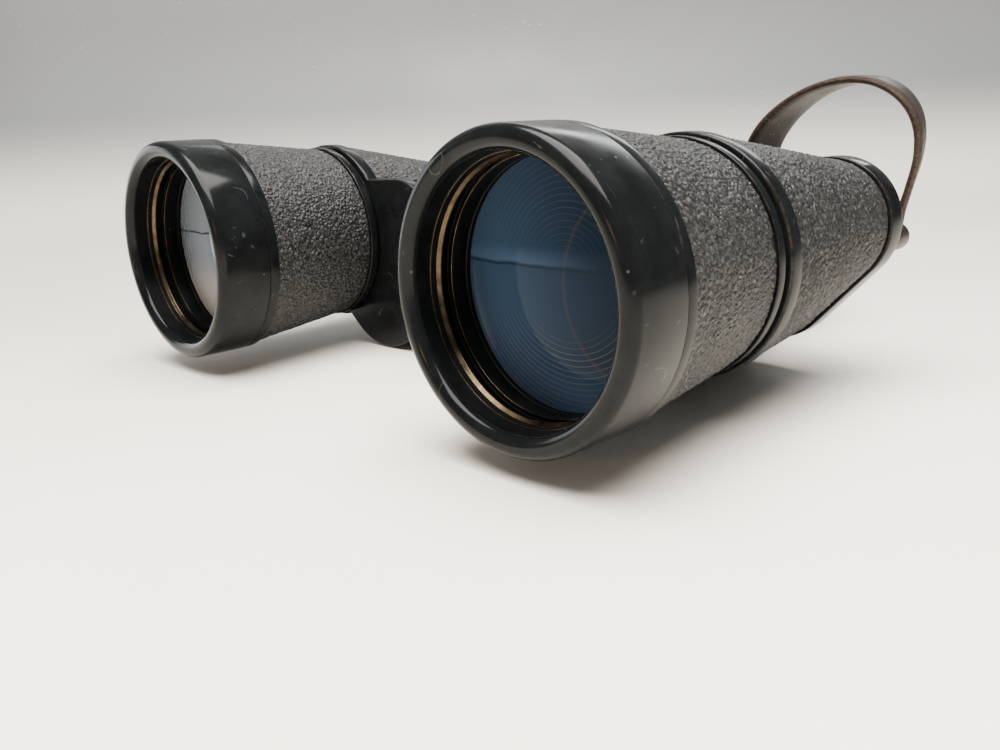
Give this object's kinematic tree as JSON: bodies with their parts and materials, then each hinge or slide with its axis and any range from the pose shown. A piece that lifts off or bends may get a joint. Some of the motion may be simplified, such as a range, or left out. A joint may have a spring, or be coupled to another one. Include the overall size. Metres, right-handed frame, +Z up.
{
  "type": "binoculars",
  "caption": "Folding prism binoculars with wide objective tubes, pebbled covering, centre focus wheel, dioptre ring and a neck strap.",
  "frame": {"origin": "on the table under the middle of the instrument, the strap left out", "axes": "+Y from the objectives to the eyepieces, along both optical axes; +Z up; +X from the left barrel to the right barrel"},
  "size_m": [0.1982, 0.181, 0.0716],
  "materials": {
    "black_enamel": "glossy black enamel, worn at the edges",
    "black_metal": "satin black on aluminium",
    "leatherette": "black pebbled leatherette",
    "brass": "darkened brass",
    "coated_glass": "blue coated lens",
    "prism_glass": "polished prism glass",
    "bare_aluminium": "machined aluminium",
    "steel": "turned steel",
    "black_plastic": "matte black plastic",
    "strap_leather": "dark brown strap leather"
  },
  "bodies": {
    "right_half": {"objective_ring_R": "black_enamel", "lens_retainer_R": "brass", "objective_lens_R": "coated_glass", "lens_cell_R": "black_metal", "objective_tube_R": "black_enamel", "tube_covering_R": "leatherette", "front_cover_R": "black_enamel", "prism_housing_R": "black_metal", "hinge_arms_R": "black_enamel", "housing_covering_R": "leatherette", "prism_shelf_R": "bare_aluminium", "rear_prism_R": "prism_glass", "front_prism_R": "prism_glass", "prism_straps_R": "brass", "rear_cover_R": "black_enamel", "cover_screws_R": "steel", "eyepiece_guide_R": "black_metal", "strap_lug_R": "steel", "strap_loop_R": "strap_leather", "hinge_axle": "steel", "hinge_sleeve": "black_enamel", "tripod_bush": "black_metal", "strap_near": "strap_leather", "strap_roll": "strap_leather", "strap_far": "strap_leather"},
    "left_half": {"objective_ring_L": "black_enamel", "lens_retainer_L": "brass", "objective_lens_L": "coated_glass", "lens_cell_L": "black_metal", "objective_tube_L": "black_enamel", "tube_covering_L": "leatherette", "front_cover_L": "black_enamel", "prism_housing_L": "black_metal", "hinge_arms_L": "black_enamel", "housing_covering_L": "leatherette", "prism_shelf_L": "bare_aluminium", "rear_prism_L": "prism_glass", "front_prism_L": "prism_glass", "prism_straps_L": "brass", "rear_cover_L": "black_enamel", "cover_screws_L": "steel", "eyepiece_guide_L": "black_metal", "strap_lug_L": "steel", "strap_loop_L": "strap_leather", "strap_fall": "strap_leather"},
    "focus_wheel": {"focus_wheel": "black_metal"},
    "right_eyepiece": {"eyepiece_barrel_R": "black_metal", "field_lens_R": "coated_glass", "bridge_arm_R": "black_enamel", "focus_screw": "steel", "bridge_nut": "steel"},
    "left_eyepiece": {"eyepiece_barrel_L": "black_metal", "field_lens_L": "coated_glass", "bridge_arm_L": "black_enamel", "eyecup_L": "black_plastic", "eye_lens_L": "coated_glass"},
    "dioptre_ring": {"dioptre_ring": "black_metal"},
    "right_ocular": {"eyecup_R": "black_plastic", "eye_lens_R": "coated_glass"}
  },
  "joints": [
    {"name": "fold", "type": "hinge", "parent": "right_half", "child": "left_half", "pos_m": [0, 0, 0.0488], "axis": [0, 1, 0], "range_deg": [-24, 26]},
    {"name": "focus_turn", "type": "hinge", "parent": "right_half", "child": "focus_wheel", "pos_m": [0, 0, 0.0488], "axis": [0, 1, 0], "range_deg": [-360, 360]},
    {"name": "focus_right", "type": "slide", "parent": "right_half", "child": "right_eyepiece", "axis": [0, 1, 0], "range_m": [-0.0053, 0.0053]},
    {"name": "focus_left", "type": "slide", "parent": "left_half", "child": "left_eyepiece", "axis": [0, 1, 0], "range_m": [-0.0053, 0.0053]},
    {"name": "dioptre_turn", "type": "hinge", "parent": "right_eyepiece", "child": "dioptre_ring", "pos_m": [0.032, 0, 0.0343], "axis": [0, 1, 0], "range_deg": [-60, 60]},
    {"name": "dioptre_slide", "type": "slide", "parent": "right_eyepiece", "child": "right_ocular", "axis": [0, 1, 0], "range_m": [-0.001, 0.001]}
  ],
  "couplings": [
    {"joint": "focus_right", "follows": "focus_turn", "m_per_rad": 0.00079},
    {"joint": "focus_left", "follows": "focus_turn", "m_per_rad": 0.00079},
    {"joint": "dioptre_slide", "follows": "dioptre_turn", "m_per_rad": 0.00095}
  ]
}
